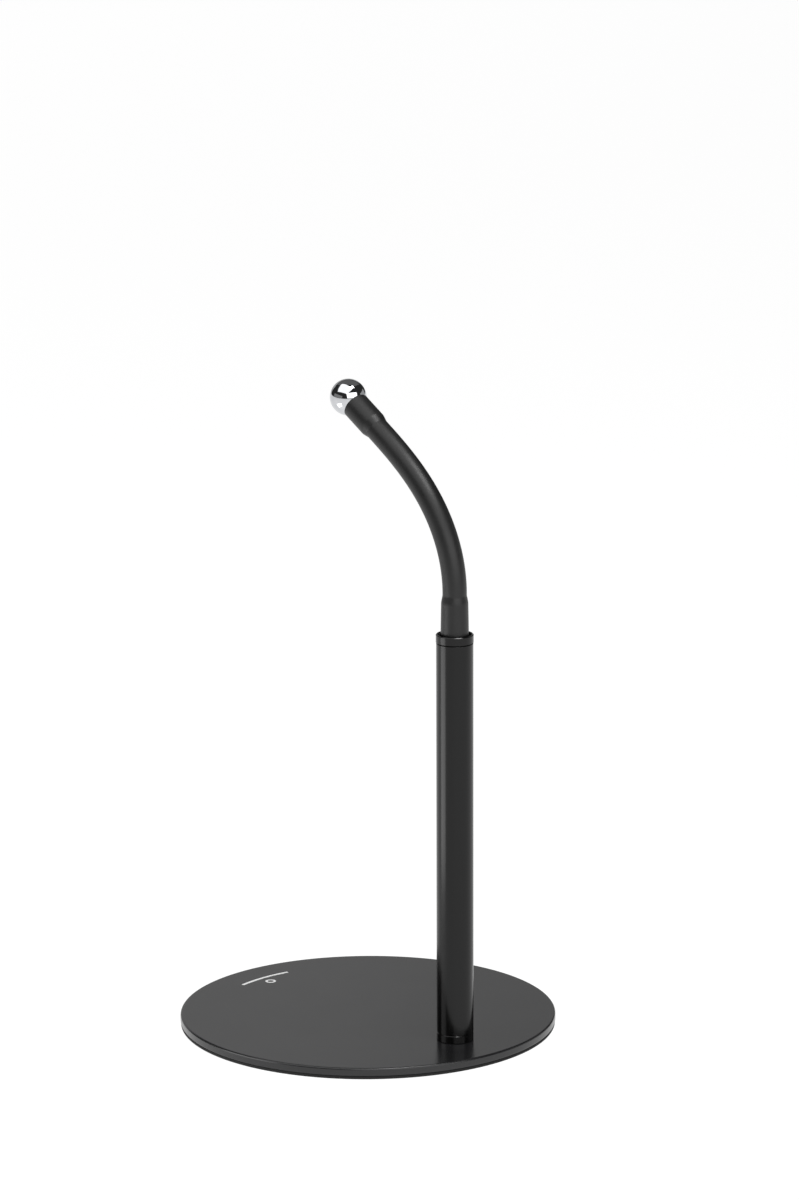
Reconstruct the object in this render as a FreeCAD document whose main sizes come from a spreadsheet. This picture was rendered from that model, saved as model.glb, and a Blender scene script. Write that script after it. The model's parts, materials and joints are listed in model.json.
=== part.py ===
import FreeCAD, Part
import os

import Sketcher

# Gooseneck table stand with a ball head. Millimetres, +Z up. The origin is the centre of the
# foot pad's underside. The pole stands off-centre towards +Y, and the neck leans towards -Y.
#
# From the table up: a foot pad under a round plate, a flanged plug screwed to the plate from
# below, a tube pressed on the plug, and a collar pressed into the tube's top. The gooseneck
# hose is held in a ferrule at each end and is covered by a rubber sleeve that is thicker over
# the ferrules. The lower ferrule sits in the collar, and a stud holds a ball on the upper one.
#
# The hose and its sleeve are cut into short links, each in its own frame: the origin is the
# joint at the link's lower end, and +Z runs along the link. Each link ends below in a round
# knuckle that sits in the cup of the link before it, with room for the tightest bend.

SIZES = {
    "plate_radius": 88.0,
    "plate_thickness": 3.8,
    "plate_top_round": 0.9,
    "plate_bottom_round": 0.4,
    "pad_thickness": 1.5,
    "pad_inset": 0.2,
    "pad_round": 0.3,
    "pole_offset": 60.0,
    "tube_radius": 8.5,
    "tube_wall": 1.2,
    "tube_length": 184.6,
    "seam_chamfer": 0.3,
    "plug_flange": 3.8,
    "plug_spigot": 15.0,
    "screw_radius": 3.0,
    "screw_head_radius": 6.0,
    "screw_length": 20.0,
    "screw_key_width": 4.0,
    "screw_key_depth": 2.2,
    "collar_flange": 4.0,
    "collar_proud": 0.15,
    "collar_spigot": 18.0,
    "collar_lip": 0.7,
    "collar_side_gap": 0.4,
    "collar_dish_depth": 2.9,
    "turn_clearance": 0.05,
    "seat_gap": 0.1,
    "hose_radius": 4.2,
    "sleeve_wall": 1.35,
    "straight_length": 18.8,
    "neck_pitch": 7.5,
    "neck_joints": 12,
    "first_bend": 8.04,
    "bend_power": 1.5,
    "tightest_curve": 35.0,
    "link_clearance": 0.3,
    "cup_wall": 0.35,
    "lower_cup_wall": 0.65,
    "lower_end_taper": 0.25,
    "lower_end_length": 14.8,
    "lower_shoulder": 3.2,
    "ferrule_thread_radius": 5.0,
    "ferrule_tail": 16.0,
    "ferrule_passage": 2.2,
    "hose_grip": 11.0,
    "upper_cup_wall": 0.85,
    "upper_shoulder_start": 3.9,
    "upper_shoulder": 3.3,
    "upper_hose_grip": 3.5,
    "ferrule_web": 3.75,
    "ball_radius": 8.5,
    "ball_flat_radius": 4.0,
    "ball_seat_rim": 0.33,
    "ball_fit": 0.02,
    "stud_radius": 2.5,
    "stud_in_ball": 6.0,
    "stud_in_ferrule": 5.0,
    "stud_key_width": 2.5,
    "stud_key_depth": 2.5,
    "hole_relief": 0.5,
}

# Places and radii that follow from the driving sizes.
LAYOUT = {
    "plate_top": "sizes.pad_thickness + sizes.plate_thickness",
    "tube_bottom": "plate_top + sizes.plug_flange",
    "tube_top": "tube_bottom + sizes.tube_length",
    "tube_bore": "sizes.tube_radius - sizes.tube_wall",
    "screw_cone_top": "sizes.pad_thickness + sizes.screw_head_radius - sizes.screw_radius",
    "screw_tip": "sizes.pad_thickness + sizes.screw_length",
    "plug_top": "tube_bottom + sizes.plug_spigot",
    "collar_bottom": "tube_top - sizes.collar_spigot",
    "collar_top": "tube_top + sizes.collar_flange",
    "collar_floor": "collar_top - sizes.collar_dish_depth",
    "collar_bore": "sizes.ferrule_thread_radius + sizes.turn_clearance",
    "collar_radius": "sizes.tube_radius + sizes.collar_proud",
    "collar_floor_radius": "lower_end_radius + sizes.collar_side_gap",
    "sleeve_bottom": "collar_floor + sizes.seat_gap",
    "sleeve_radius": "sizes.hose_radius + sizes.sleeve_wall",
    "lower_grip_radius": "sizes.hose_radius + sizes.lower_cup_wall",
    "lower_end_top_radius": "lower_grip_radius + sizes.sleeve_wall",
    "lower_end_radius": "lower_end_top_radius + sizes.lower_end_taper",
    "lower_end_top": "collar_top + sizes.lower_end_length",
    "flexible_bottom": "collar_top + sizes.straight_length",
    "first_joint": "flexible_bottom + sizes.neck_pitch / 2",
    "ferrule_bottom": "collar_floor - sizes.ferrule_tail",
    "hose_bottom": "lower_end_top - sizes.hose_grip",
    "half_bend": "atan(sizes.neck_pitch / 2 / sizes.tightest_curve)",
    "knuckle_radius": "sizes.hose_radius - sizes.cup_wall",
    "cup_radius": "knuckle_radius + sizes.link_clearance",
    "sleeve_cut": "(sizes.link_clearance + sleeve_radius * sin(half_bend)) / cos(half_bend)",
    "cup_cut": "sleeve_cut + sizes.link_clearance",
    "upper_grip_radius": "sizes.hose_radius + sizes.upper_cup_wall",
    "upper_end_radius": "upper_grip_radius + sizes.sleeve_wall",
    "upper_shoulder_end": "sizes.upper_shoulder_start + sizes.upper_shoulder",
    "upper_hose_end": "upper_shoulder_end + sizes.upper_hose_grip",
    "stud_start": "upper_hose_end + sizes.ferrule_web",
    "ball_face": "stud_start + sizes.stud_in_ferrule",
    "stud_end": "ball_face + sizes.stud_in_ball",
    "ball_distance": "ball_face + sqrt(sizes.ball_radius ^ 2 - sizes.ball_flat_radius ^ 2)",
    "seat_radius": "upper_end_radius - sizes.ball_seat_rim",
    "seat_depth": "sqrt((sizes.ball_radius + sizes.ball_fit) ^ 2 - seat_radius ^ 2)",
    "upper_sleeve_end": "ball_distance - seat_depth",
}

ON_POLE = (
    "create(<<placement>>; create(<<vector>>; 0; sizes.pole_offset; 0); create(<<rotation>>))"
)
VERTICAL_AXIS = -2

doc = FreeCAD.newDocument("gooseneck_stand")


def fill_sheet(name, cells):
    """Adds a sheet with one named cell to a row."""
    sheet = doc.addObject("Spreadsheet::Sheet", name)
    for row, (alias, content) in enumerate(cells.items(), start=1):
        sheet.set(f"A{row}", alias)
        sheet.set(f"B{row}", content)
        sheet.setAlias(f"B{row}", alias)
    return sheet


sizes = fill_sheet("sizes", {alias: str(number) for alias, number in SIZES.items()})
layout = fill_sheet("layout", {alias: f"={formula}" for alias, formula in LAYOUT.items()})
doc.recompute()

SUB_PARTS = []


def new_body(name, placement=None):
    """Starts a sub-part, with its place bound to an expression."""
    body = doc.addObject("PartDesign::Body", name)
    body.Label = name
    if placement:
        body.setExpression("Placement", placement)
    SUB_PARTS.append(body)
    return body


def attach(body, feature, role, height=None):
    """Lays a sketch or primitive on one of the body's own origin planes."""
    plane = next(item for item in body.Origin.OriginFeatures if item.Role == role)
    feature.AttachmentSupport = [(plane, "")]
    feature.MapMode = "FlatFace"
    if height:
        feature.setExpression("AttachmentOffset.Base.z", height)


def outline_sketch(body, name, corners):
    """Draws a closed outline on the body's XZ plane; each corner is (radius, height), as expressions."""
    sketch = body.newObject("Sketcher::SketchObject", name)
    attach(body, sketch, "XZ_Plane")
    points = [
        FreeCAD.Vector(float(layout.evalExpression(radius)), float(layout.evalExpression(height)), 0)
        for radius, height in corners
    ]
    for start, end in zip(points, points[1:] + points[:1]):
        sketch.addGeometry(Part.LineSegment(start, end))
    for line, (radius, height) in enumerate(corners):
        following = (line + 1) % len(corners)
        sketch.addConstraint(Sketcher.Constraint("Coincident", line, 2, following, 1))
        if radius == "0":
            sketch.addConstraint(Sketcher.Constraint("PointOnObject", line, 1, VERTICAL_AXIS))
        else:
            across = sketch.addConstraint(Sketcher.Constraint("DistanceX", line, 1, points[line].x))
            sketch.setExpression(f"Constraints[{across}]", radius)
        up = sketch.addConstraint(Sketcher.Constraint("DistanceY", line, 1, points[line].y))
        sketch.setExpression(f"Constraints[{up}]", height)
    return sketch


def revolve(body, corners, kind="Revolution"):
    """Turns an outline round the body's Z axis, as a Revolution or, to remove it, a Groove."""
    feature = body.newObject(f"PartDesign::{kind}", f"{body.Name}_{kind.lower()}")
    feature.Profile = outline_sketch(body, f"{body.Name}_{kind.lower()}_outline", corners)
    feature.ReferenceAxis = (feature.Profile[0], ["V_Axis"])
    feature.Angle = 360
    body.Tip = feature
    doc.recompute()
    return feature


def sphere(body, kind, radius, height=None):
    """Adds or removes a ball centred on the body's Z axis."""
    feature = body.newObject(f"PartDesign::{kind}Sphere", f"{body.Name}_{kind.lower()}_ball")
    attach(body, feature, "XY_Plane", height)
    feature.setExpression("Radius", radius)
    doc.recompute()
    return feature


def hexagon_pocket(body, width, depth, face_height, upwards):
    """Sinks a hexagon key socket from the face at face_height."""
    sketch = body.newObject("Sketcher::SketchObject", f"{body.Name}_key")
    attach(body, sketch, "XY_Plane", face_height)
    reach = float(layout.evalExpression(width)) / 3**0.5
    corners = [
        FreeCAD.Rotation(FreeCAD.Vector(0, 0, 1), 60 * corner).multVec(FreeCAD.Vector(reach, 0, 0))
        for corner in range(6)
    ]
    for start, end in zip(corners, corners[1:] + corners[:1]):
        sketch.addGeometry(Part.LineSegment(start, end))
    circle = sketch.addGeometry(Part.Circle(FreeCAD.Vector(), FreeCAD.Vector(0, 0, 1), reach), True)
    sketch.addConstraint(Sketcher.Constraint("Coincident", circle, 3, -1, 1))
    for line in range(6):
        sketch.addConstraint(Sketcher.Constraint("Coincident", line, 2, (line + 1) % 6, 1))
        sketch.addConstraint(Sketcher.Constraint("PointOnObject", line, 1, circle))
    for line in range(1, 6):
        sketch.addConstraint(Sketcher.Constraint("Equal", 0, line))
    sketch.addConstraint(Sketcher.Constraint("PointOnObject", 0, 1, -1))
    radius = sketch.addConstraint(Sketcher.Constraint("Radius", circle, reach))
    sketch.setExpression(f"Constraints[{radius}]", f"{width} / sqrt(3)")
    pocket = body.newObject("PartDesign::Pocket", f"{body.Name}_key_pocket")
    pocket.Profile = sketch
    pocket.setExpression("Length", depth)
    pocket.Reversed = upwards
    doc.recompute()
    return pocket


def round_rim(body, height, radius_of_rim, rounding):
    """Rounds the circular edge that lies at a height and has a radius."""
    base = body.Tip
    level = float(layout.evalExpression(height))
    reach = float(layout.evalExpression(radius_of_rim))
    names = [
        f"Edge{number}"
        for number, edge in enumerate(base.Shape.Edges, start=1)
        if isinstance(edge.Curve, Part.Circle)
        and abs(edge.Curve.Radius - reach) < 1e-6
        and abs(edge.Curve.Center.z - level) < 1e-6
    ]
    fillet = body.newObject("PartDesign::Fillet", f"{body.Name}_round_{len(body.Group)}")
    fillet.Base = (base, names)
    fillet.setExpression("Radius", rounding)
    doc.recompute()
    return fillet


def make_base_plate():
    """Round steel plate with a countersunk hole for the screw, under the pole."""
    body = new_body("base_plate")
    revolve(body, [
        ("0", "sizes.pad_thickness"),
        ("sizes.plate_radius", "sizes.pad_thickness"),
        ("sizes.plate_radius", "layout.plate_top"),
        ("0", "layout.plate_top"),
    ])
    round_rim(body, "plate_top", "sizes.plate_radius", "sizes.plate_top_round")
    round_rim(body, "sizes.pad_thickness", "sizes.plate_radius", "sizes.plate_bottom_round")
    hole = body.newObject("PartDesign::SubtractiveCylinder", "screw_hole")
    attach(body, hole, "XY_Plane")
    hole.setExpression("AttachmentOffset.Base.y", "sizes.pole_offset")
    hole.setExpression("Radius", "sizes.screw_radius")
    hole.setExpression("Height", "layout.plate_top + sizes.hole_relief")
    sink = body.newObject("PartDesign::SubtractiveCone", "screw_countersink")
    attach(body, sink, "XY_Plane", "sizes.pad_thickness")
    sink.setExpression("AttachmentOffset.Base.y", "sizes.pole_offset")
    sink.setExpression("Radius1", "sizes.screw_head_radius")
    sink.setExpression("Radius2", "sizes.screw_radius")
    sink.setExpression("Height", "sizes.screw_head_radius - sizes.screw_radius")
    doc.recompute()


def make_foot_pad():
    """Rubber sheet glued under the plate, over the screw's head."""
    body = new_body("foot_pad")
    reach = "sizes.plate_radius - sizes.pad_inset"
    revolve(body, [
        ("0", "0"),
        (f"{reach} - sizes.pad_round", "0"),
        (reach, "sizes.pad_round"),
        (reach, "sizes.pad_thickness"),
        ("0", "sizes.pad_thickness"),
    ])


def make_base_screw():
    """Countersunk screw from below, with a hexagon key socket in its head."""
    body = new_body("base_screw", ON_POLE)
    revolve(body, [
        ("0", "sizes.pad_thickness"),
        ("sizes.screw_head_radius", "sizes.pad_thickness"),
        ("sizes.screw_radius", "layout.screw_cone_top"),
        ("sizes.screw_radius", "layout.screw_tip - sizes.seam_chamfer"),
        ("sizes.screw_radius - sizes.seam_chamfer", "layout.screw_tip"),
        ("0", "layout.screw_tip"),
    ])
    hexagon_pocket(body, "sizes.screw_key_width", "sizes.screw_key_depth", "sizes.pad_thickness", True)


def make_bottom_plug():
    """Flanged plug with a threaded bore; the tube is pressed on its spigot."""
    body = new_body("bottom_plug", ON_POLE)
    revolve(body, [
        ("sizes.screw_radius", "layout.plate_top"),
        ("sizes.tube_radius - sizes.seam_chamfer", "layout.plate_top"),
        ("sizes.tube_radius", "layout.plate_top + sizes.seam_chamfer"),
        ("sizes.tube_radius", "layout.tube_bottom - sizes.seam_chamfer"),
        ("sizes.tube_radius - sizes.seam_chamfer", "layout.tube_bottom"),
        ("layout.tube_bore", "layout.tube_bottom"),
        ("layout.tube_bore", "layout.plug_top - sizes.seam_chamfer"),
        ("layout.tube_bore - sizes.seam_chamfer", "layout.plug_top"),
        ("sizes.screw_radius", "layout.plug_top"),
    ])


def make_pole_tube():
    """Steel tube with both outer rims broken."""
    body = new_body("pole_tube", ON_POLE)
    revolve(body, [
        ("layout.tube_bore", "layout.tube_bottom"),
        ("sizes.tube_radius - sizes.seam_chamfer", "layout.tube_bottom"),
        ("sizes.tube_radius", "layout.tube_bottom + sizes.seam_chamfer"),
        ("sizes.tube_radius", "layout.tube_top - sizes.seam_chamfer"),
        ("sizes.tube_radius - sizes.seam_chamfer", "layout.tube_top"),
        ("layout.tube_bore", "layout.tube_top"),
    ])


def make_top_collar():
    """Flanged plug for the tube's top, dished inside its thin lip and bored for the ferrule."""
    body = new_body("top_collar", ON_POLE)
    revolve(body, [
        ("layout.collar_bore", "layout.collar_bottom"),
        ("layout.tube_bore - sizes.seam_chamfer", "layout.collar_bottom"),
        ("layout.tube_bore", "layout.collar_bottom + sizes.seam_chamfer"),
        ("layout.tube_bore", "layout.tube_top"),
        ("sizes.tube_radius - sizes.seam_chamfer", "layout.tube_top"),
        ("layout.collar_radius", "layout.tube_top + sizes.seam_chamfer"),
        ("layout.collar_radius", "layout.collar_top - sizes.seam_chamfer"),
        ("layout.collar_radius - sizes.seam_chamfer", "layout.collar_top"),
        ("layout.collar_radius - sizes.collar_lip", "layout.collar_top"),
        ("layout.collar_floor_radius", "layout.collar_floor"),
        ("layout.collar_bore", "layout.collar_floor"),
    ])


def make_lower_ferrule():
    """Threaded tail in the collar's bore, and a cup above it that grips the hose's end."""
    body = new_body("neck_lower_ferrule", ON_POLE)
    revolve(body, [
        ("sizes.ferrule_passage", "layout.ferrule_bottom"),
        ("sizes.ferrule_thread_radius - sizes.seam_chamfer", "layout.ferrule_bottom"),
        ("sizes.ferrule_thread_radius", "layout.ferrule_bottom + sizes.seam_chamfer"),
        ("sizes.ferrule_thread_radius", "layout.sleeve_bottom"),
        ("layout.lower_grip_radius", "layout.sleeve_bottom"),
        ("layout.lower_grip_radius", "layout.lower_end_top"),
        ("sizes.hose_radius", "layout.lower_end_top"),
        ("sizes.hose_radius", "layout.hose_bottom"),
        ("sizes.ferrule_passage", "layout.hose_bottom"),
    ])


def make_lower_sleeve_end():
    """The sleeve's thick lower end over the ferrule, its shoulder and the straight part above."""
    body = new_body("neck_sleeve_lower_end", ON_POLE)
    shoulder_top = "layout.lower_end_top + sizes.lower_shoulder"
    revolve(body, [
        ("layout.lower_grip_radius", "layout.sleeve_bottom"),
        ("layout.lower_end_radius", "layout.sleeve_bottom"),
        ("layout.lower_end_radius", "layout.collar_top"),
        ("layout.lower_end_top_radius", "layout.lower_end_top"),
        ("layout.sleeve_radius", shoulder_top),
        ("layout.sleeve_radius", "layout.first_joint - layout.sleeve_cut"),
        ("sizes.hose_radius", "layout.first_joint - layout.sleeve_cut"),
        ("sizes.hose_radius", "layout.lower_end_top"),
        ("layout.lower_grip_radius", "layout.lower_end_top"),
    ])


def make_hose_root():
    """The hose's lowest length, gripped in the lower ferrule, with the first joint's cup."""
    body = new_body("neck_hose_00", ON_POLE)
    revolve(body, [
        ("0", "layout.hose_bottom"),
        ("sizes.hose_radius", "layout.hose_bottom"),
        ("sizes.hose_radius", "layout.first_joint - layout.cup_cut"),
        ("0", "layout.first_joint - layout.cup_cut"),
    ])
    sphere(body, "Subtractive", "layout.cup_radius", "layout.first_joint")


def hose_outline(top):
    """A hose link from its knuckle's centre to a height."""
    return [
        ("0", "0"),
        ("layout.knuckle_radius", "0"),
        ("layout.knuckle_radius", "layout.sleeve_cut"),
        ("sizes.hose_radius", "layout.sleeve_cut"),
        ("sizes.hose_radius", top),
        ("0", top),
    ]


def link_placement(number):
    """Where a joint is at rest. A joint's bend fades along the neck, from the first joint's bend."""
    bend = f"sizes.first_bend * (1 - ({number} / (sizes.neck_joints + 1)) ^ sizes.bend_power)"
    turn = f"create(<<rotation>>; create(<<vector>>; 1; 0; 0); {bend})"
    if number == 1:
        joint = "create(<<vector>>; 0; sizes.pole_offset; layout.first_joint)"
        return f"create(<<placement>>; {joint}; {turn})"
    step = "create(<<vector>>; 0; 0; sizes.neck_pitch)"
    return f"neck_hose_{number - 1:02d}.Placement * create(<<placement>>; {step}; {turn})"


def make_hose_link(number):
    """One hose link: a knuckle below, and above it the cup for the next link's knuckle."""
    body = new_body(f"neck_hose_{number:02d}", link_placement(number))
    revolve(body, hose_outline("sizes.neck_pitch - layout.cup_cut"))
    sphere(body, "Additive", "layout.knuckle_radius")
    sphere(body, "Subtractive", "layout.cup_radius", "sizes.neck_pitch")
    return body


def make_sleeve_link(number):
    """The sleeve round one hose link, cut back at both ends so that the links can bend."""
    body = new_body(f"neck_sleeve_{number:02d}", f"neck_hose_{number:02d}.Placement")
    revolve(body, [
        ("sizes.hose_radius", "layout.sleeve_cut"),
        ("layout.sleeve_radius", "layout.sleeve_cut"),
        ("layout.sleeve_radius", "sizes.neck_pitch - layout.sleeve_cut"),
        ("sizes.hose_radius", "sizes.neck_pitch - layout.sleeve_cut"),
    ])


def make_hose_end(number):
    """The hose's last length, from the last joint's knuckle into the upper ferrule."""
    body = new_body(f"neck_hose_{number:02d}", link_placement(number))
    revolve(body, hose_outline("layout.upper_hose_end"))
    sphere(body, "Additive", "layout.knuckle_radius")


def make_upper_sleeve_end(head):
    """The sleeve's thick upper end over the ferrule, dished to seat the ball."""
    body = new_body("neck_sleeve_upper_end", head)
    revolve(body, [
        ("sizes.hose_radius", "layout.sleeve_cut"),
        ("layout.sleeve_radius", "layout.sleeve_cut"),
        ("layout.sleeve_radius", "sizes.upper_shoulder_start"),
        ("layout.upper_end_radius", "layout.upper_shoulder_end"),
        ("layout.upper_end_radius", "layout.upper_sleeve_end"),
        ("layout.upper_grip_radius", "layout.upper_sleeve_end"),
        ("layout.upper_grip_radius", "layout.upper_shoulder_end"),
        ("sizes.hose_radius", "layout.upper_shoulder_end"),
    ])
    sphere(body, "Subtractive", "sizes.ball_radius + sizes.ball_fit", "layout.ball_distance")


def make_upper_ferrule(head):
    """Metal end that grips the hose below and takes the ball's stud above."""
    body = new_body("neck_upper_ferrule", head)
    revolve(body, [
        ("0", "layout.upper_hose_end"),
        ("sizes.hose_radius", "layout.upper_hose_end"),
        ("sizes.hose_radius", "layout.upper_shoulder_end"),
        ("layout.upper_grip_radius", "layout.upper_shoulder_end"),
        ("layout.upper_grip_radius", "layout.ball_face"),
        ("sizes.stud_radius", "layout.ball_face"),
        ("sizes.stud_radius", "layout.stud_start - sizes.hole_relief"),
        ("0", "layout.stud_start - sizes.hole_relief"),
    ])


def make_ball_stud(head):
    """Threaded stud with a hexagon key socket in its lower end."""
    body = new_body("ball_stud", head)
    revolve(body, [
        ("0", "layout.stud_start"),
        ("sizes.stud_radius", "layout.stud_start"),
        ("sizes.stud_radius", "layout.stud_end - sizes.seam_chamfer"),
        ("sizes.stud_radius - sizes.seam_chamfer", "layout.stud_end"),
        ("0", "layout.stud_end"),
    ])
    hexagon_pocket(body, "sizes.stud_key_width", "sizes.stud_key_depth", "layout.stud_start", True)


def make_ball(head):
    """Steel ball with a flat and a blind threaded hole on the side of the neck."""
    body = new_body("ball", head)
    sphere(body, "Additive", "sizes.ball_radius", "layout.ball_distance")
    flat_start = "layout.ball_distance - sizes.ball_radius - sizes.hole_relief"
    revolve(body, [
        ("0", flat_start),
        ("sizes.ball_radius", flat_start),
        ("sizes.ball_radius", "layout.ball_face"),
        ("sizes.stud_radius", "layout.ball_face"),
        ("sizes.stud_radius", "layout.stud_end + sizes.hole_relief"),
        ("0", "layout.stud_end + sizes.hole_relief"),
    ], "Groove")


def check_model():
    """Stops if an object failed, a sub-part has no good solid, or a cut removed nothing."""
    for item in doc.Objects:
        if "Invalid" in item.State or "Error" in item.State:
            raise RuntimeError(f"{item.Name} failed: {item.State}")
        base = getattr(item, "BaseFeature", None)
        removes = "Subtractive" in item.TypeId or item.TypeId.endswith(("Pocket", "Groove"))
        if base and removes and item.Shape.Volume > base.Shape.Volume - 1e-3:
            raise RuntimeError(f"{item.Name} removes nothing")
    for body in SUB_PARTS:
        if body.Shape.isNull() or not body.Shape.isValid() or len(body.Shape.Solids) != 1:
            raise RuntimeError(f"{body.Label} isn't one valid solid")


def build_stand():
    """The pieces that stay put: foot, plate, pole and collar."""
    make_base_plate()
    make_foot_pad()
    make_base_screw()
    make_bottom_plug()
    make_pole_tube()
    make_top_collar()


def build_neck():
    """The pieces that turn and bend, from the collar up to the ball."""
    last = int(sizes.neck_joints)
    make_lower_ferrule()
    make_lower_sleeve_end()
    make_hose_root()
    for number in range(1, last):
        make_hose_link(number)
        make_sleeve_link(number)
    make_hose_end(last)
    head = f"neck_hose_{last:02d}.Placement"
    make_upper_sleeve_end(head)
    make_upper_ferrule(head)
    make_ball_stud(head)
    make_ball(head)


build_stand()
build_neck()
doc.recompute()
check_model()
os.makedirs("parts", exist_ok=True)
for body in SUB_PARTS:
    body.Shape.exportStep(f"parts/{body.Label}.step")
    print(f"{body.Label}: {body.Shape.Volume:.0f} mm3")
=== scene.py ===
"""Looks of a gooseneck table stand with a ball head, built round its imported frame.

Outlines are written in millimetres, and other lengths are in metres unless a name ends in _mm. Z is
up, the stand rests on z = 0, its pole stands off-centre towards +Y and its neck leans towards -Y.
Every surface is worked out with numpy.
"""

import json
import logging
import math
from collections.abc import Callable
from dataclasses import dataclass

import bpy
import numpy as np
from mathutils import Matrix, Vector

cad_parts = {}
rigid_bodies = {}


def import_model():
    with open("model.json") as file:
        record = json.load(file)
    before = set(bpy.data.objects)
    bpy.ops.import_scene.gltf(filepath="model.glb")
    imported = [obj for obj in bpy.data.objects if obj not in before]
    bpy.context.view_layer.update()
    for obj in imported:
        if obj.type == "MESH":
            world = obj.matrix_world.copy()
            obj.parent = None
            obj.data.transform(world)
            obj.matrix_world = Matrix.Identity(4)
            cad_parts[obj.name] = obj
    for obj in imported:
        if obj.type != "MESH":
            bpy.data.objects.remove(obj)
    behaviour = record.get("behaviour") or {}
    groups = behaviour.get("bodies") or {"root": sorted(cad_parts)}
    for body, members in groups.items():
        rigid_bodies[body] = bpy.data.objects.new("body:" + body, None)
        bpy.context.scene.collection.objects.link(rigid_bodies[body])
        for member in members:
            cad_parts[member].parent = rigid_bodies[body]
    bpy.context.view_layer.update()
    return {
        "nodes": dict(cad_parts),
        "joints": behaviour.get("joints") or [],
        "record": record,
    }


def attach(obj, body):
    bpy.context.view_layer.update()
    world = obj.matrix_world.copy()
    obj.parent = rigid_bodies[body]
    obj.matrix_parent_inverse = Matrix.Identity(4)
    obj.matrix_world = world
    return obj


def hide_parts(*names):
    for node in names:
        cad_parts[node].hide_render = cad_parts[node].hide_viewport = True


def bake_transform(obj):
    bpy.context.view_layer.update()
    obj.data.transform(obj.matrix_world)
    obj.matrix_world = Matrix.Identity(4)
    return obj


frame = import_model()

logging.basicConfig(level=logging.INFO, format="%(message)s")
log = logging.getLogger("stand")

MM = 0.001
SHARP_EDGE = math.radians(40)

# Places and sizes that more than one sub-assembly uses.
PLATE_TOP_MM = 5.3
POLE_OFFSET_MM = 60.0
COLLAR_FLOOR_MM = 194.8
COLLAR_TOP_MM = 197.7
BALL_RADIUS_MM = 8.5

# Both noises of a finish: how many finer steps they have, and how strong those steps are.
NOISE_DETAIL = 3.0
GRAIN_ROUGHNESS = 0.55
CLOUD_ROUGHNESS = 0.6
# Values that a noise seldom leaves.
NOISE_LOW = 0.3
NOISE_HIGH = 0.7

Outline = list[tuple[float, float, float]]
Place = Callable[[np.ndarray], np.ndarray]
Links = dict[str | int, bpy.types.NodeSocket]


# ---------------------------------------------------------------------------------------------
# Surfaces
# ---------------------------------------------------------------------------------------------


def linear(hex_colour: str) -> tuple[float, float, float, float]:
    """Turns an sRGB hex colour to linear light.

    Args:
        hex_colour: six hex digits, such as "808080".

    Returns:
        Linear red, green and blue, and an alpha of 1.
    """
    srgb = np.array([int(hex_colour[i : i + 2], 16) / 255 for i in (0, 2, 4)])
    low, high = srgb / 12.92, ((srgb + 0.055) / 1.055) ** 2.4
    return (*np.where(srgb <= 0.04045, low, high).tolist(), 1.0)


def rounded(corners: Outline, steps: int = 8) -> np.ndarray:
    """Rounds the corners of a turned piece's outline.

    A corner with a rounding r becomes an arc that touches both of its sides: the arc starts and ends
    r / tan(half the corner's angle) from the corner, and its centre lies on the corner's bisector.

    Args:
        corners: (radius, height, rounding) of each corner in millimetres, in order.
        steps: straight pieces in each arc.

    Returns:
        The outline's points in metres, one (radius, height) in each row.
    """
    points = np.array([corner[:2] for corner in corners], float)
    path = [points[0][None]]
    for before, corner, after, (_, _, rounding) in zip(points, points[1:], points[2:], corners[1:]):
        back = (before - corner) / np.linalg.norm(before - corner)
        ahead = (after - corner) / np.linalg.norm(after - corner)
        half = math.acos(float(np.clip(back @ ahead, -1, 1))) / 2
        if rounding <= 0:
            path.append(corner[None])
            continue
        centre = corner + (back + ahead) / np.linalg.norm(back + ahead) * rounding / math.sin(half)
        start = corner + back * rounding / math.tan(half) - centre
        end = corner + ahead * rounding / math.tan(half) - centre
        sweep = math.atan2(start[0] * end[1] - start[1] * end[0], float(start @ end))
        turns = np.linspace(0, sweep, steps + 1)[:, None]
        across = np.array([-start[1], start[0]])
        path.append(centre + np.cos(turns) * start + np.sin(turns) * across)
    path.append(points[-1][None])
    return np.concatenate(path) * MM


def spaced(outline: np.ndarray, guard_mm: float = 0.2, longest_mm: float = 400.0) -> np.ndarray:
    """Adds points to an outline's straight runs, so that its arcs keep their own shading.

    A run longer than three guards gets a point one guard from each end, and what is left between
    them is split evenly until no piece is longer than asked.

    Args:
        outline: (radius, height) points in metres.
        guard_mm: distance of the added points from a run's ends.
        longest_mm: the longest allowed piece of a run.

    Returns:
        The outline with the added points.
    """
    guard, longest = guard_mm * MM, longest_mm * MM
    rows = [outline[:1]]
    for start, end in zip(outline[:-1], outline[1:]):
        length = float(np.linalg.norm(end - start))
        if length > 3 * guard:
            count = max(1, math.ceil((length - 2 * guard) / longest))
            stops = np.concatenate([np.linspace(guard, length - guard, count + 1), [length]])
            rows.append(start + (end - start) * (stops / length)[:, None])
        else:
            rows.append(end[None])
    return np.concatenate(rows)


def add_piece(
    name: str, vertices: np.ndarray, faces: list[list[int]], uv: np.ndarray
) -> bpy.types.Object:
    """Puts whole arrays into a mesh whose object sits at the origin.

    Args:
        name: the piece's name.
        vertices: one point in each row.
        faces: lists of vertex numbers.
        uv: two numbers for each vertex.

    Returns:
        The piece, smooth except where its faces meet at a sharp edge.
    """
    mesh = bpy.data.meshes.new(name)
    mesh.from_pydata(vertices.tolist(), [], faces)
    mesh.update()
    corners = np.empty(len(mesh.loops), np.int32)
    mesh.loops.foreach_get("vertex_index", corners)
    mesh.uv_layers.new(name="UVMap").data.foreach_set("uv", uv[corners].astype(np.float32).ravel())
    mesh.shade_smooth()
    mesh.set_sharp_from_angle(angle=SHARP_EDGE)
    piece = bpy.data.objects.new(name, mesh)
    bpy.context.scene.collection.objects.link(piece)
    log.info("%s: %d faces", name, len(faces))
    return piece


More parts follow.
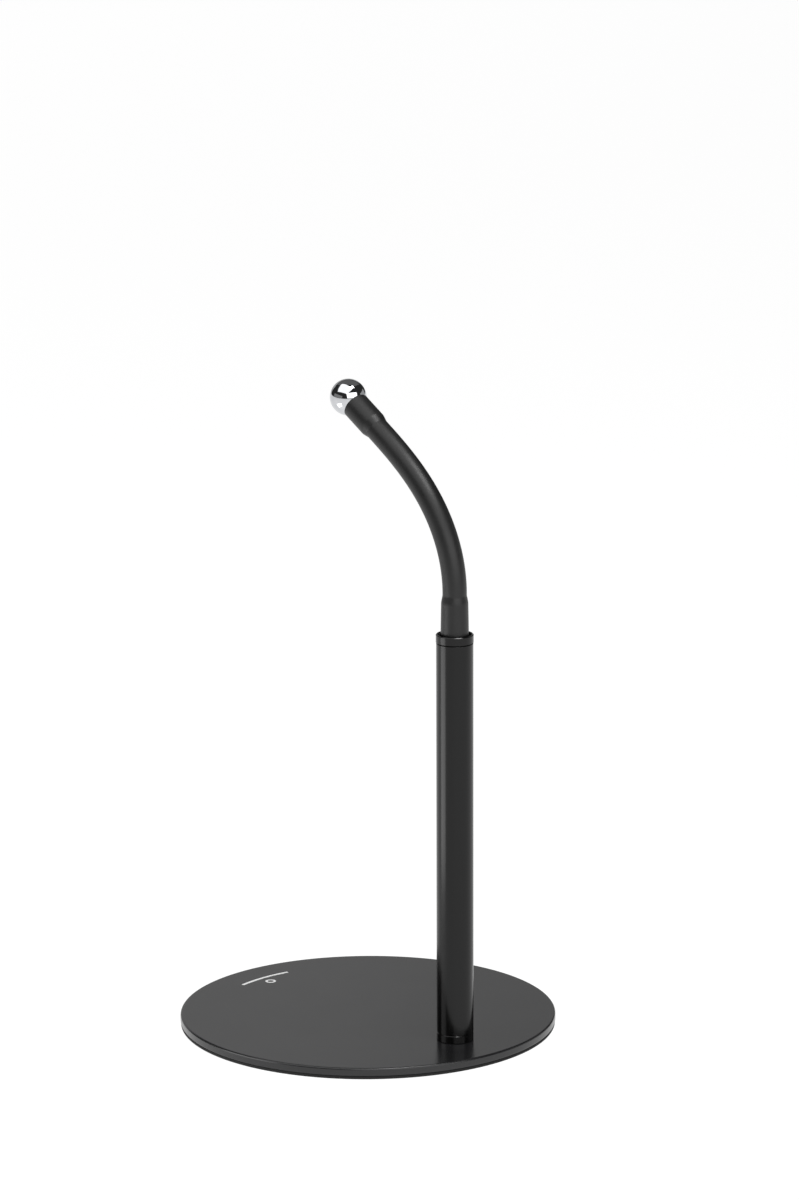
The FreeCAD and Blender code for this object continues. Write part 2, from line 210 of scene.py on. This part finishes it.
def ring_faces(rings: int, around: int, closed: bool) -> np.ndarray:
    """Quads between rings of points.

    The face at ring i, place j joins (i, j), (i, j + 1), (i + 1, j + 1) and (i + 1, j), and j is
    counted round the ring.

    Args:
        rings: number of rings.
        around: points in each ring.
        closed: whether the last ring joins the first.

    Returns:
        Four vertex numbers in each row.
    """
    i, j = np.meshgrid(np.arange(rings if closed else rings - 1), np.arange(around), indexing="ij")
    after, beside = (i + 1) % rings, (j + 1) % around
    corners = [i * around + j, i * around + beside, after * around + beside, after * around + j]
    return np.stack(corners, -1).reshape(-1, 4)


def turned(name: str, outline: np.ndarray, place: Place, around: int = 192) -> bpy.types.Object:
    """Turns an outline round an axis and sets the result in place.

    The surface is (r(s) cos a, r(s) sin a, z(s)). An end of the outline that lies on the axis is
    closed by a fan of triangles, and an outline clear of the axis is a closed loop, so that the
    piece is a ring.

    Args:
        name: the piece's name.
        outline: (radius, height) points, anticlockwise seen with the axis on the left.
        place: moves points from the piece's own frame to where they belong.
        around: points round the axis.

    Returns:
        The piece.
    """
    on_axis = outline[:, 0] < 1e-9
    rings = outline[~on_axis]
    angles = np.linspace(0, 2 * math.pi, around, endpoint=False)
    surface = np.empty((len(rings), around, 3))
    surface[..., 0] = rings[:, :1] * np.cos(angles)
    surface[..., 1] = rings[:, :1] * np.sin(angles)
    surface[..., 2] = rings[:, 1:]
    vertices = surface.reshape(-1, 3)
    along = np.concatenate([[0], np.cumsum(np.linalg.norm(np.diff(rings, axis=0), axis=1))])
    uv = np.stack(np.broadcast_arrays(angles / (2 * math.pi), along[:, None]), -1).reshape(-1, 2)
    faces = ring_faces(len(rings), around, closed=not on_axis.any()).tolist()
    here = np.arange(around)
    beside = (here + 1) % around
    for end, first, second in ((0, beside, here), (-1, here, beside)):
        if on_axis[end]:
            tip = np.full(around, len(vertices))
            last_ring = (0 if end == 0 else len(rings) - 1) * around
            faces += np.stack([tip, last_ring + first, last_ring + second], -1).tolist()
            vertices = np.concatenate([vertices, [[0, 0, outline[end, 1]]]])
            uv = np.concatenate([uv, [[0.5, along[end]]]])
    return add_piece(name, place(vertices), faces, uv)


def unmoved(points: np.ndarray) -> np.ndarray:
    """Leaves points where they are."""
    return points


def at_pole(points: np.ndarray) -> np.ndarray:
    """Moves points from the pole's own axis to where the pole stands."""
    return points + np.array([0, POLE_OFFSET_MM * MM, 0])


def along(lean: float) -> np.ndarray:
    """Unit step towards the head along a link of the neck that leans by an angle in radians."""
    return np.array([0, -math.sin(lean), math.cos(lean)])


def ball_mount() -> dict:
    """Finds the ball head's mount, which says where the ball is and where it points."""
    return next(mount for mount in frame["record"]["mounts"] if mount["name"] == "ball_head")


# ---------------------------------------------------------------------------------------------
# Finishes
# ---------------------------------------------------------------------------------------------


def add_node(
    tree: bpy.types.NodeTree, kind: str, links: Links | None = None, **settings: object
) -> bpy.types.Node:
    """Adds a node, sets its properties or inputs by name, and links its inputs.

    Args:
        tree: the material's node tree.
        kind: the node's type, without "ShaderNode".
        links: input name or number to the socket that feeds it.
        **settings: properties, or inputs where the node has no such property; _ stands for a space.

    Returns:
        The node.
    """
    node = tree.nodes.new("ShaderNode" + kind)
    for name, value in settings.items():
        if hasattr(node, name):
            setattr(node, name, value)
        else:
            node.inputs[name.replace("_", " ")].default_value = value
    for name, socket in (links or {}).items():
        tree.links.new(socket, node.inputs[name])
    return node


def mixed(
    tree: bpy.types.NodeTree, share: bpy.types.NodeSocket, dark: str, light: str
) -> bpy.types.NodeSocket:
    """Mixes two colours.

    Args:
        tree: the material's node tree.
        share: the light colour's share.
        dark: the dark colour's six hex digits.
        light: the light colour's six hex digits.

    Returns:
        The mixed colour.
    """
    mix = add_node(tree, "Mix", {"Factor": share}, data_type="RGBA")
    # The node has sockets for every kind of value: its two colours are 6 and 7, and their mix is 2.
    mix.inputs[6].default_value = linear(dark)
    mix.inputs[7].default_value = linear(light)
    return mix.outputs[2]


@dataclass(frozen=True)
class Finish:
    """A surface with a mottled colour, an uneven gloss and a fine relief.

    The colour and the relief follow one fine noise, whose grain is a real size, and the gloss and a
    slight shade follow a coarser noise, as handling, spray or moulding leaves them.
    """

    name: str
    dark: str
    light: str
    roughness: float
    grain_mm: float
    relief_mm: float
    gloss_spread: float = 0.04
    cloud_mm: float = 25.0
    metallic: float = 0.0
    specular: float = 0.5

    def noise(
        self, tree: bpy.types.NodeTree, place: bpy.types.NodeSocket, grain_mm: float, roughness: float
    ) -> bpy.types.NodeSocket:
        """Adds a noise.

        Args:
            tree: the material's node tree.
            place: the coordinates that it follows.
            grain_mm: its real size.
            roughness: how strong its finer steps are.

        Returns:
            The noise's value.
        """
        settings = {"Scale": 1 / (grain_mm * MM), "Detail": NOISE_DETAIL, "Roughness": roughness}
        return add_node(tree, "TexNoise", {"Vector": place}, **settings).outputs["Fac"]

    def material(self) -> bpy.types.Material:
        """Builds the material.

        Returns:
            The material, with every pattern on Object coordinates.
        """
        material = bpy.data.materials.new(self.name)
        material.use_nodes = True
        tree = material.node_tree
        shader = tree.nodes["Principled BSDF"]
        shader.inputs["Metallic"].default_value = self.metallic
        shader.inputs["Specular IOR Level"].default_value = self.specular
        place = add_node(tree, "TexCoord").outputs["Object"]
        grain = self.noise(tree, place, self.grain_mm, GRAIN_ROUGHNESS)
        cloud = self.noise(tree, place, self.cloud_mm, CLOUD_ROUGHNESS)
        both = add_node(tree, "Math", {0: grain, 1: cloud}, operation="ADD").outputs["Value"]
        share = add_node(
            tree, "MapRange", {"Value": both}, From_Min=2 * NOISE_LOW, From_Max=2 * NOISE_HIGH
        )
        tint = mixed(tree, share.outputs["Result"], self.dark, self.light)
        tree.links.new(tint, shader.inputs["Base Color"])
        gloss = add_node(
            tree, "MapRange", {"Value": cloud}, From_Min=NOISE_LOW, From_Max=NOISE_HIGH,
            To_Min=self.roughness - self.gloss_spread, To_Max=self.roughness + self.gloss_spread,
        )
        tree.links.new(gloss.outputs["Result"], shader.inputs["Roughness"])
        relief = add_node(tree, "Bump", {"Height": grain}, Strength=1.0, Distance=self.relief_mm * MM)
        tree.links.new(relief.outputs["Normal"], shader.inputs["Normal"])
        return material


# Satin black powder coat, sprayed dry and baked: a fine flow texture softens every reflection.
PLATE_COAT = Finish("powder_coat_satin_black", "171718", "1d1d1e", 0.24, 0.5, 0.002, gloss_spread=0.01)
# Stoving enamel on drawn tube: deep black and smooth, so that lights show as soft stripes.
POLE_COAT = Finish(
    "stoving_enamel_satin_black", "050505", "090909", 0.20, 0.9, 0.001, gloss_spread=0.02, specular=0.3
)
# Rubber sheet, calendered and die cut: dull and nearly black, with a fine grain.
PAD_RUBBER = Finish("sheet_rubber_calendered_black", "161616", "202020", 0.72, 0.35, 0.012, specular=0.25)
# Elastomer tube, extruded and shrunk on: black with a soft sheen and barely any relief.
SLEEVE_RUBBER = Finish(
    "elastomer_sleeve_extruded_black", "0d0d0d", "131313", 0.44, 0.4, 0.002, specular=0.45
)
# Spring steel strip, wound into a hose and oiled: dark grey metal.
HOSE_STEEL = Finish("spring_steel_wound_oiled", "5c5a57", "75736f", 0.34, 0.3, 0.01, metallic=1.0)
# Turned steel with bright zinc plating: pale blue-grey metal with fine tool marks.
ZINC_STEEL = Finish("zinc_plated_steel_turned", "9a9da1", "b6b8ba", 0.28, 0.2, 0.004, metallic=1.0)
# Bearing-grade steel ball, polished and chromed: a near mirror with a faint haze.
BALL_CHROME = Finish(
    "chrome_plated_steel_polished", "c4c6c9", "cfd0d2", 0.045, 1.5, 0.0004, gloss_spread=0.02,
    cloud_mm=4.0, metallic=1.0,
)
# White pad-printed ink: thin, matt and slightly uneven.
PRINT_INK = Finish("pad_print_ink_white", "e2e2e2", "f6f6f6", 0.55, 0.25, 0.002)


class Palette:
    """The finishes made into materials, once each."""

    def __init__(self) -> None:
        """Builds every material."""
        self.plate = PLATE_COAT.material()
        self.pole = POLE_COAT.material()
        self.pad = PAD_RUBBER.material()
        self.sleeve = SLEEVE_RUBBER.material()
        self.hose = HOSE_STEEL.material()
        self.zinc = ZINC_STEEL.material()
        self.chrome = BALL_CHROME.material()
        self.ink = PRINT_INK.material()


def dress(piece: bpy.types.Object, material: bpy.types.Material) -> None:
    """Gives a piece its only material."""
    piece.data.materials.clear()
    piece.data.materials.append(material)


# ---------------------------------------------------------------------------------------------
# The stand
# ---------------------------------------------------------------------------------------------


@dataclass(frozen=True)
class Base:
    """Round steel plate on a rubber pad, with a small printed mark near its rim.

    The mark's bearing is counted from +X in degrees, anticlockwise from above.
    """

    palette: Palette
    radius_mm: float = 88.0
    pad_top_mm: float = 1.5
    top_mm: float = PLATE_TOP_MM
    top_round_mm: float = 0.9
    bottom_round_mm: float = 0.6
    pad_inset_mm: float = 0.2
    pad_round_mm: float = 0.5
    mark_radius_mm: float = 72.3
    mark_width_mm: float = 1.6
    mark_length_mm: float = 29.5
    mark_bearing: float = -88.2
    mark_height_mm: float = 0.03
    mark_sections: int = 49
    ring_centre_mm: tuple[float, float] = (3.2, -65.8)
    ring_radius_mm: float = 2.0
    ring_width_mm: float = 1.1
    ring_around: int = 64
    longest_face_mm: float = 12.0
    around: int = 512

    def build(self) -> None:
        """Makes the plate, the pad and the mark."""
        self.make_plate()
        self.make_pad()
        self.make_mark()

    def make_plate(self) -> None:
        """Turns the plate: flat faces and a side with a small rounding at each rim."""
        outline = rounded([
            (0, self.pad_top_mm, 0),
            (self.radius_mm, self.pad_top_mm, self.bottom_round_mm),
            (self.radius_mm, self.top_mm, self.top_round_mm),
            (0, self.top_mm, 0),
        ])
        plate = turned("plate", spaced(outline, longest_mm=self.longest_face_mm), unmoved, self.around)
        dress(plate, self.palette.plate)
        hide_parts("base_plate")
        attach(plate, "stand")

    def make_pad(self) -> None:
        """Turns the pad: a thin disc with its lower rim rounded."""
        reach = self.radius_mm - self.pad_inset_mm
        outline = rounded([
            (0, 0, 0),
            (reach, 0, self.pad_round_mm),
            (reach, self.pad_top_mm, self.pad_round_mm),
            (0, self.pad_top_mm, 0),
        ])
        pad = turned("pad", spaced(outline, longest_mm=self.longest_face_mm), unmoved, self.around)
        dress(pad, self.palette.pad)
        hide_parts("foot_pad")
        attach(pad, "stand")

    def make_mark(self) -> None:
        """Prints a plain line that follows the rim, and a small ring inside it."""
        low, high = self.top_mm, self.top_mm + self.mark_height_mm
        for piece in (self.make_line(low, high), self.make_ring(low, high)):
            dress(piece, self.palette.ink)
            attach(piece, "stand")

    def make_line(self, low: float, high: float) -> bpy.types.Object:
        """Makes the line: an upright rectangle carried along an arc, with both of its ends closed.

        A section at the bearing a has its corners (r, z) at (r cos a, r sin a, z).

        Args:
            low: height of its underside, in millimetres.
            high: height of its face.

        Returns:
            The line.
        """
        sections = self.mark_sections
        half = self.mark_length_mm / self.mark_radius_mm / 2
        near = self.mark_radius_mm - self.mark_width_mm / 2
        far = self.mark_radius_mm + self.mark_width_mm / 2
        angles = np.linspace(-half, half, sections)[:, None] + math.radians(self.mark_bearing)
        loop = np.array([(near, high), (near, low), (far, low), (far, high)])
        points = np.empty((sections, 4, 3))
        points[..., 0] = loop[:, 0] * np.cos(angles)
        points[..., 1] = loop[:, 0] * np.sin(angles)
        points[..., 2] = loop[:, 1]
        last_section = np.arange(4) + 4 * (sections - 1)
        faces = ring_faces(sections, 4, closed=False).tolist() + [[3, 2, 1, 0], last_section.tolist()]
        uv = np.stack(np.broadcast_arrays(angles, loop[:, 1]), -1).reshape(-1, 2)
        return add_piece("printed_line", points.reshape(-1, 3) * MM, faces, uv)

    def make_ring(self, low: float, high: float) -> bpy.types.Object:
        """Makes the small ring.

        Args:
            low: height of its underside, in millimetres.
            high: height of its face.

        Returns:
            The ring.
        """
        inner = self.ring_radius_mm - self.ring_width_mm / 2
        outer = self.ring_radius_mm + self.ring_width_mm / 2
        section = rounded([(inner, low, 0), (outer, low, 0), (outer, high, 0), (inner, high, 0)])
        centre = np.array([*self.ring_centre_mm, 0]) * MM
        return turned("printed_ring", section, lambda points: points + centre, self.ring_around)


@dataclass(frozen=True)
class Pole:
    """Plug, tube and collar on one axis; thin seams show where they meet."""

    palette: Palette
    radius_mm: float = 8.5
    wall_mm: float = 1.2
    bore_mm: float = 3.0
    tube_bottom_mm: float = 9.1
    tube_top_mm: float = 193.7
    collar_radius_mm: float = 8.65
    spigot_mm: float = 15.0
    collar_spigot_mm: float = 18.0
    collar_bore_mm: float = 5.05
    lip_mm: float = 0.7
    floor_radius_mm: float = 6.85
    chamfer_mm: float = 0.3
    lip_chamfer_mm: float = 0.15
    floor_chamfer_mm: float = 0.4
    longest_face_mm: float = 30.0
    around: int = 256

    def build(self) -> None:
        """Makes the plug, the tube and the collar, and dresses the screw that holds the plug."""
        self.make_piece("plug", "bottom_plug", self.plug_outline())
        self.make_piece("tube", "pole_tube", self.tube_outline())
        self.make_piece("collar", "top_collar", self.collar_outline())
        dress(frame["nodes"]["base_screw"], self.palette.zinc)

    def plug_outline(self) -> Outline:
        """Outline of the flanged plug under the tube, from its bore outwards."""
        bore, spigot = self.bore_mm, self.radius_mm - self.wall_mm
        spigot_top = self.tube_bottom_mm + self.spigot_mm
        return [
            (bore, spigot_top, 0),
            (bore, PLATE_TOP_MM, 0),
            (self.radius_mm, PLATE_TOP_MM, self.chamfer_mm),
            (self.radius_mm, self.tube_bottom_mm, self.chamfer_mm),
            (spigot, self.tube_bottom_mm, 0),
            (spigot, spigot_top, self.chamfer_mm),
            (bore, spigot_top, 0),
        ]

    def tube_outline(self) -> Outline:
        """Outline of the tube, with both outer rims chamfered."""
        bore = self.radius_mm - self.wall_mm
        return [
            (bore, self.tube_top_mm, 0),
            (bore, self.tube_bottom_mm, 0),
            (self.radius_mm, self.tube_bottom_mm, self.chamfer_mm),
            (self.radius_mm, self.tube_top_mm, self.chamfer_mm),
            (bore, self.tube_top_mm, 0),
        ]

    def collar_outline(self) -> Outline:
        """Outline of the collar: a spigot in the tube, a thin lip and a dish inside the lip."""
        spigot, spigot_bottom = self.radius_mm - self.wall_mm, self.tube_top_mm - self.collar_spigot_mm
        outer, lip = self.collar_radius_mm, self.collar_radius_mm - self.lip_mm
        return [
            (self.collar_bore_mm, COLLAR_FLOOR_MM, 0),
            (self.collar_bore_mm, spigot_bottom, 0),
            (spigot, spigot_bottom, self.chamfer_mm),
            (spigot, self.tube_top_mm, 0),
            (outer, self.tube_top_mm, self.chamfer_mm),
            (outer, COLLAR_TOP_MM, self.chamfer_mm),
            (lip, COLLAR_TOP_MM, self.lip_chamfer_mm),
            (self.floor_radius_mm, COLLAR_FLOOR_MM, self.floor_chamfer_mm),
            (self.collar_bore_mm, COLLAR_FLOOR_MM, 0),
        ]

    def make_piece(self, name: str, node: str, outline: Outline) -> None:
        """Turns one piece of the pole and dresses it.

        Args:
            name: the piece's name.
            node: the CAD node that it stands for.
            outline: the corners of its closed outline.
        """
        loop = spaced(rounded(outline, steps=1), longest_mm=self.longest_face_mm)[:-1]
        piece = turned(name, loop, at_pole, self.around)
        dress(piece, self.palette.pole)
        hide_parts(node)
        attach(piece, "stand")


@dataclass(frozen=True)
class Neck:
    """Gooseneck: a soft sleeve with a thicker end over each ferrule, and a wound hose inside it.

    The sleeve's bending length is cut at the middle of each link, so that every piece crosses one
    joint and curves round it.
    """

    palette: Palette
    sleeve_radius_mm: float = 5.55
    inside_radius_mm: float = 4.5
    hose_radius_mm: float = 4.2
    pitch_mm: float = 7.5
    bottom_mm: float = COLLAR_FLOOR_MM + 0.1
    flexible_bottom_mm: float = 216.5
    lower_radius_mm: float = 6.45
    lower_top_radius_mm: float = 6.2
    lower_top_mm: float = 212.5
    lower_grip_radius_mm: float = 4.85
    lower_shoulder_mm: float = 3.2
    lower_rim_round_mm: float = 0.25
    lower_round_mm: float = 9.0
    lower_shoulder_round_mm: float = 5.0
    upper_radius_mm: float = 6.4
    upper_grip_radius_mm: float = 5.05
    upper_shoulder_mm: tuple[float, float] = (3.9, 7.2)
    upper_shoulder_rounds_mm: tuple[float, float] = (1.1, 6.0)
    upper_end_mm: float = 20.97
    upper_rim_round_mm: float = 0.2
    seat_radius_mm: float = 6.07
    ball_distance_mm: float = 26.95
    ball_fit_mm: float = 0.02
    dish_rows: int = 9
    longest_face_mm: float = 1.5
    bend_rings: int = 25
    blend_margin_mm: float = 0.05

    def joints(self) -> np.ndarray:
        """Places of the neck's bending joints from the stand upwards, in metres.

        Returns:
            One joint in each row.
        """
        chain = {joint["parent"]: joint for joint in frame["joints"] if "bend" in joint["name"]}
        places, body = [], "neck_root"
        while body in chain:
            places.append(chain[body]["pos_m"])
            body = chain[body]["child"]
        return np.array(places)

    def leans(self) -> np.ndarray:
        """Lean of each link from upright, in radians, starting with the upright length below.

        Returns:
            One angle more than there are joints; the last is the head's.
        """
        places = np.concatenate([self.joints(), [ball_mount()["pos_m"]]])
        runs = np.diff(places, axis=0)
        return np.concatenate([[0], np.arctan2(-runs[:, 1], runs[:, 2])])

    def build(self) -> None:
        """Makes the sleeve's ends and the bending pieces between them, and dresses the metal inside."""
        self.make_lower_end()
        joints, leans = self.joints(), self.leans()
        for i, joint in enumerate(joints):
            self.make_bend(i + 1, joint, leans[i], leans[i + 1])
        self.make_upper_end(joints[-1], leans[-1])
        for name, node in frame["nodes"].items():
            if name.startswith("neck_hose"):
                dress(node, self.palette.hose)
            elif name.endswith("ferrule") or name == "ball_stud":
                dress(node, self.palette.zinc)

    def make_lower_end(self) -> None:
        """Turns the thick lower end: a slight taper, a soft shoulder and the straight part above."""
        grip, inside, top = self.lower_grip_radius_mm, self.hose_radius_mm, self.lower_top_mm
        outline = rounded([
            (grip, top, 0),
            (grip, self.bottom_mm, 0),
            (self.lower_radius_mm, self.bottom_mm, self.lower_rim_round_mm),
            (self.lower_radius_mm, COLLAR_TOP_MM, 0),
            (self.lower_top_radius_mm, top, self.lower_round_mm),
            (self.sleeve_radius_mm, top + self.lower_shoulder_mm, self.lower_shoulder_round_mm),
            (self.sleeve_radius_mm, self.flexible_bottom_mm, 0),
            (inside, self.flexible_bottom_mm, 0),
            (inside, top, 0),
            (grip, top, 0),
        ])
        loop = spaced(outline, longest_mm=self.longest_face_mm)[:-1]
        piece = turned("sleeve_lower_end", loop, at_pole)
        self.finish_sleeve(piece, "neck_sleeve_lower_end")
        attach(piece, "neck_root")

    def make_bend(
        self, number: int, joint: np.ndarray, below: float, above: float
    ) -> None:
        """Makes the sleeve's piece round one joint, from the middle of a link to the middle of the next.

        The piece's middle line is an arc that touches both links: for a lean A along it, a step
        along the line goes (0, -sin A, cos A), and a point (x, y) of a section lies at x along X
        and y along (0, cos A, sin A).

        Args:
            number: the joint's number, from 1.
            joint: the joint's place.
            below: the lean of the link below.
            above: the lean of the link above.
        """
        half = self.pitch_mm / 2 * MM
        turn = above - below
        arc_radius = half / math.tan(turn / 2)
        start = joint - half * along(below)
        length = arc_radius * turn

        def bent(points: np.ndarray) -> np.ndarray:
            """Carries points given along a straight piece to the arc."""
            lean = below + points[:, 2] / arc_radius
            across = np.stack([0 * lean, np.cos(lean), np.sin(lean)], -1)
            line = arc_radius * (across - np.array([0, math.cos(below), math.sin(below)]))
            return start + line + points[:, :1] * np.array([1, 0, 0]) + points[:, 1:2] * across

        inside, outside = self.inside_radius_mm * MM, self.sleeve_radius_mm * MM
        heights = np.linspace(0, length, self.bend_rings)
        outline = np.concatenate([
            np.stack([np.full(2, inside), [length, 0]], -1),
            np.stack([np.full(self.bend_rings, outside), heights], -1),
        ])
        piece = turned(f"sleeve_bend_{number:02d}", outline, bent)
        node = f"neck_sleeve_{number:02d}"
        self.finish_sleeve(piece, node if node in frame["nodes"] else None)
        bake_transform(piece)

    def make_upper_end(self, joint: np.ndarray, lean: float) -> None:
        """Turns the thick upper end, dished to seat the ball.

        Args:
            joint: place of the last joint, where the piece's own frame has its origin.
            lean: the head's lean.
        """
        start = self.pitch_mm / 2
        swell, swell_rounds = self.upper_shoulder_mm, self.upper_shoulder_rounds_mm
        seat = BALL_RADIUS_MM + self.ball_fit_mm
        dish_radii = np.linspace(self.seat_radius_mm, self.upper_grip_radius_mm, self.dish_rows)
        dish = np.stack([dish_radii, self.ball_distance_mm - np.sqrt(seat**2 - dish_radii**2)], -1)
        outside = rounded([
            (self.hose_radius_mm, swell[1], 0),
            (self.hose_radius_mm, start, 0),
            (self.sleeve_radius_mm, start, 0),
            (self.sleeve_radius_mm, swell[0], swell_rounds[0]),
            (self.upper_radius_mm, swell[1], swell_rounds[1]),
            (self.upper_radius_mm, self.upper_end_mm, self.upper_rim_round_mm),
            (self.seat_radius_mm, self.upper_end_mm, 0),
        ])
        inside = np.array([(self.upper_grip_radius_mm, swell[1]), (self.hose_radius_mm, swell[1])])
        loop = np.concatenate([outside, dish[1:] * MM, inside * MM])
        outline = spaced(loop, longest_mm=self.longest_face_mm)[:-1]
        turn = np.array(Matrix.Rotation(lean, 3, "X"))
        piece = turned("sleeve_upper_end", outline, lambda points: points @ turn.T + joint)
        self.finish_sleeve(piece, "neck_sleeve_upper_end")
        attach(piece, "head")

    def finish_sleeve(self, piece: bpy.types.Object, node: str | None) -> None:
        """Dresses a piece of the sleeve.

        Args:
            piece: the piece.
            node: the CAD node that it stands for, if there is one.
        """
        dress(piece, self.palette.sleeve)
        if node:
            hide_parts(node)


@dataclass(frozen=True)
class Ball:
    """Polished ball on the end of the neck, with a flat where it meets the ferrule."""

    palette: Palette
    radius_mm: float = BALL_RADIUS_MM
    flat_radius_mm: float = 4.0
    flat_guard_mm: float = 0.2
    rows: int = 128
    around: int = 256

    def build(self) -> None:
        """Turns the ball: an arc from the flat's rim to the far side of the ball."""
        mount = ball_mount()
        axis = Vector(mount["axis"]).normalized()
        turn = np.array(axis.to_track_quat("Z", "X").to_matrix())
        centre = np.array(mount["pos_m"])
        start = math.asin(self.flat_radius_mm / self.radius_mm)
        angles = np.linspace(start, math.pi, self.rows)
        arc = self.radius_mm * np.stack([np.sin(angles), -np.cos(angles)], -1)
        arc[-1] = (0, self.radius_mm)
        flat = [(0, arc[0, 1]), (self.flat_radius_mm - self.flat_guard_mm, arc[0, 1])]
        outline = np.concatenate([flat, arc]) * MM
        ball = turned("ball_head", outline, lambda points: points @ turn.T + centre, self.around)
        dress(ball, self.palette.chrome)
        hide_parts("ball")
        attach(ball, "head")


# ---------------------------------------------------------------------------------------------
# The studio
# ---------------------------------------------------------------------------------------------


@dataclass(frozen=True)
class Softbox:
    """A flat even light that faces a point on the stand.

    Its angles are in degrees. Its bearing is counted from the camera's, anticlockwise from above, and
    its power follows from the brightness of its face: power = pi * area * brightness.
    """

    name: str
    bearing: float
    elevation: float
    distance: float
    width: float
    height: float
    brightness: float
    aim: tuple[float, float, float] = (0.0, 0.0, 0.12)

    def build(self, camera_bearing: float) -> None:
        """Makes the light.

        Args:
            camera_bearing: the camera's own bearing from +X, in degrees.
        """
        bearing, elevation = math.radians(camera_bearing + self.bearing), math.radians(self.elevation)
        out = Vector((
            math.cos(bearing) * math.cos(elevation),
            math.sin(bearing) * math.cos(elevation),
            math.sin(elevation),
        ))
        lamp = bpy.data.lights.new(self.name, "AREA")
        lamp.shape = "RECTANGLE"
        lamp.size, lamp.size_y = self.width, self.height
        lamp.energy = math.pi * self.width * self.height * self.brightness
        softbox = bpy.data.objects.new(self.name, lamp)
        softbox.location = Vector(self.aim) + out * self.distance
        softbox.rotation_euler = out.to_track_quat("Z", "Y").to_euler()
        bpy.context.scene.collection.objects.link(softbox)


@dataclass(frozen=True)
class Studio:
    """Pale floor, soft lights and the camera, whose roll is in radians and bearing in degrees."""

    camera_place: tuple[float, float, float] = (1.6549, 1.8342, 0.7852)
    camera_forward: tuple[float, float, float] = (-0.65654, -0.71858, -0.22933)
    camera_roll: float = -0.0034
    lens_mm: float = 165.0
    sensor_mm: float = 36.0
    camera_clip: tuple[float, float] = (0.05, 150.0)
    camera_bearing: float = 48.1
    floor_half: float = 40.0
    floor_dark: str = "606060"
    floor_light: str = "646464"
    floor_roughness: float = 0.7
    floor_grain_mm: float = 2.5
    glow: float = 0.93
    surroundings: float = 0.03
    softboxes: tuple[Softbox, ...] = (
        Softbox("key_softbox", -44, 64, 1.5, 2.0, 1.35, 1.6),
        Softbox("high_softbox", 48, 71, 1.5, 0.7, 0.3, 14.0),
        Softbox("front_softbox", 26, 23, 3.2, 4.0, 1.9, 2.3),
        Softbox("far_softbox", -168, 14, 4.5, 5.0, 2.0, 0.37),
        Softbox("far_left_softbox", -159, 14, 4.4, 3.38, 2.0, 0.10),
        Softbox("left_wall", -70, 12, 3.0, 3.5, 0.8, 0.25),
        Softbox("ceiling", 180, 60, 3.0, 4.0, 3.0, 0.12),
        Softbox("right_wall", 110, 12, 3.0, 2.5, 1.0, 0.4),
        Softbox("left_strip", -78, 0, 0.30, 0.18, 0.14, 3.0, (0, 0.06, 0.07)),
    )

    def build(self) -> None:
        """Makes the floor, the surroundings, the lights and the camera."""
        self.make_floor()
        self.make_surroundings()
        for softbox in self.softboxes:
            softbox.build(self.camera_bearing)
        self.make_camera()

    def make_floor(self) -> None:
        """Lays a large flat sheet of matt acrylic that is lit from below."""
        edge = self.floor_half
        corners = np.array([(-edge, -edge, 0), (edge, -edge, 0), (edge, edge, 0), (-edge, edge, 0)])
        floor = add_piece("floor", corners, [[0, 1, 2, 3]], corners[:, :2])
        # White acrylic sheet, matt and glowing: an even pale ground on which shadows stay faint.
        material = bpy.data.materials.new("acrylic_sheet_white_matt")
        material.use_nodes = True
        tree = material.node_tree
        shader = tree.nodes["Principled BSDF"]
        shader.inputs["Roughness"].default_value = self.floor_roughness
        shader.inputs["Emission Strength"].default_value = self.glow
        shader.inputs["Emission Color"].default_value = linear("ffffff")
        place = add_node(tree, "TexCoord").outputs["Object"]
        scale = 1 / (self.floor_grain_mm * MM)
        grain = add_node(tree, "TexNoise", {"Vector": place}, Scale=scale, Detail=2.0)
        tint = mixed(tree, grain.outputs["Fac"], self.floor_dark, self.floor_light)
        tree.links.new(tint, shader.inputs["Base Color"])
        dress(floor, material)

    def make_surroundings(self) -> None:
        """Fills the room with an even dim light."""
        world = bpy.data.worlds.new("studio")
        world.use_nodes = True
        background = world.node_tree.nodes["Background"]
        background.inputs["Color"].default_value = (1, 1, 1, 1)
        background.inputs["Strength"].default_value = self.surroundings
        bpy.context.scene.world = world

    def make_camera(self) -> None:
        """Sets the camera; its own axes are right, up and backwards, turned by the roll."""
        forward = Vector(self.camera_forward).normalized()
        level = forward.cross(Vector((0, 0, 1))).normalized()
        upright = level.cross(forward)
        right = math.cos(self.camera_roll) * level + math.sin(self.camera_roll) * upright
        up = math.cos(self.camera_roll) * upright - math.sin(self.camera_roll) * level
        lens = bpy.data.cameras.new("camera")
        lens.lens = self.lens_mm
        lens.sensor_width = self.sensor_mm
        lens.clip_start, lens.clip_end = self.camera_clip
        camera = bpy.data.objects.new("camera", lens)
        turn = Matrix((right, up, -forward)).transposed().to_4x4()
        camera.matrix_world = Matrix.Translation(self.camera_place) @ turn
        bpy.context.scene.collection.objects.link(camera)
        bpy.context.scene.camera = camera
        bpy.context.scene.view_settings.view_transform = "Standard"


def main() -> None:
    palette = Palette()
    Base(palette).build()
    Pole(palette).build()
    Neck(palette).build()
    Ball(palette).build()
    Studio().build()


if __name__ == "__main__":
    main()
